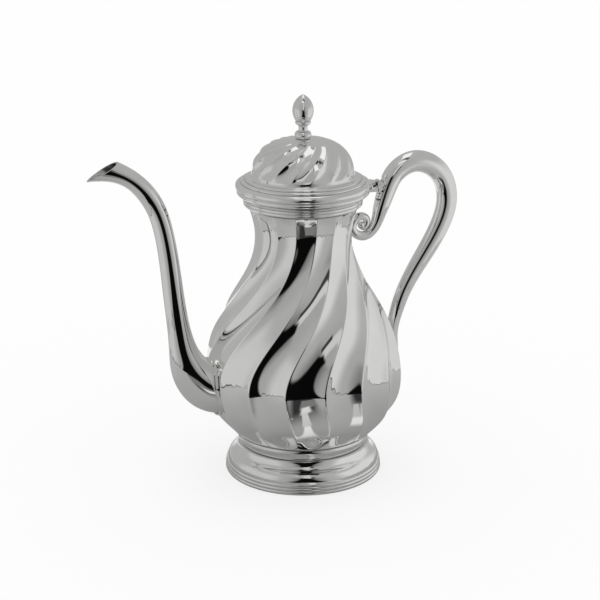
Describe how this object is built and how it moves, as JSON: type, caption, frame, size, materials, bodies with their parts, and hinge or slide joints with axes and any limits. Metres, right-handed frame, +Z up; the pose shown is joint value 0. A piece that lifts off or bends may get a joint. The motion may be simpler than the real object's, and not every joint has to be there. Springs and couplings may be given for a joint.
{
  "type": "coffee pot",
  "caption": "Pear-shaped polished coffee pot with swirled flutes, swan-neck spout, scrolled handle and a hinged fluted dome lid with a bud finial.",
  "frame": {"origin": "on the pot's axis, in the plane that the foot stands on", "axes": "+Z up the pot's axis, spout towards -X, handle and hinge towards +X"},
  "size_m": [0.2729, 0.1442, 0.28],
  "materials": {
    "silver_plate": "polished",
    "brass_fitting": "plain"
  },
  "bodies": {
    "pot": {"foot_wire": "silver_plate", "foot_ogee": "silver_plate", "foot_collar": "silver_plate", "body_floor": "silver_plate", "body_bowl_near": "silver_plate", "body_bowl_far": "silver_plate", "body_neck_near": "silver_plate", "body_neck_far": "silver_plate", "mouth_band": "silver_plate", "spout_tube": "silver_plate", "spout_collar": "silver_plate", "handle": "silver_plate", "hinge_fixed_leaf": "silver_plate", "hinge_knuckle_near": "silver_plate", "hinge_knuckle_far": "silver_plate", "hinge_pin": "silver_plate"},
    "lid": {"lid_rim": "silver_plate", "lid_bezel": "silver_plate", "lid_dome": "silver_plate", "lid_leaf": "silver_plate", "lid_knuckle": "silver_plate", "finial": "silver_plate", "finial_washer": "brass_fitting", "finial_nut": "brass_fitting"}
  },
  "joints": [
    {"name": "lid_hinge", "type": "hinge", "parent": "pot", "child": "lid", "pos_m": [0.0575, 0, 0.2117], "axis": [0, 1, 0], "range_deg": [0, 72]}
  ]
}
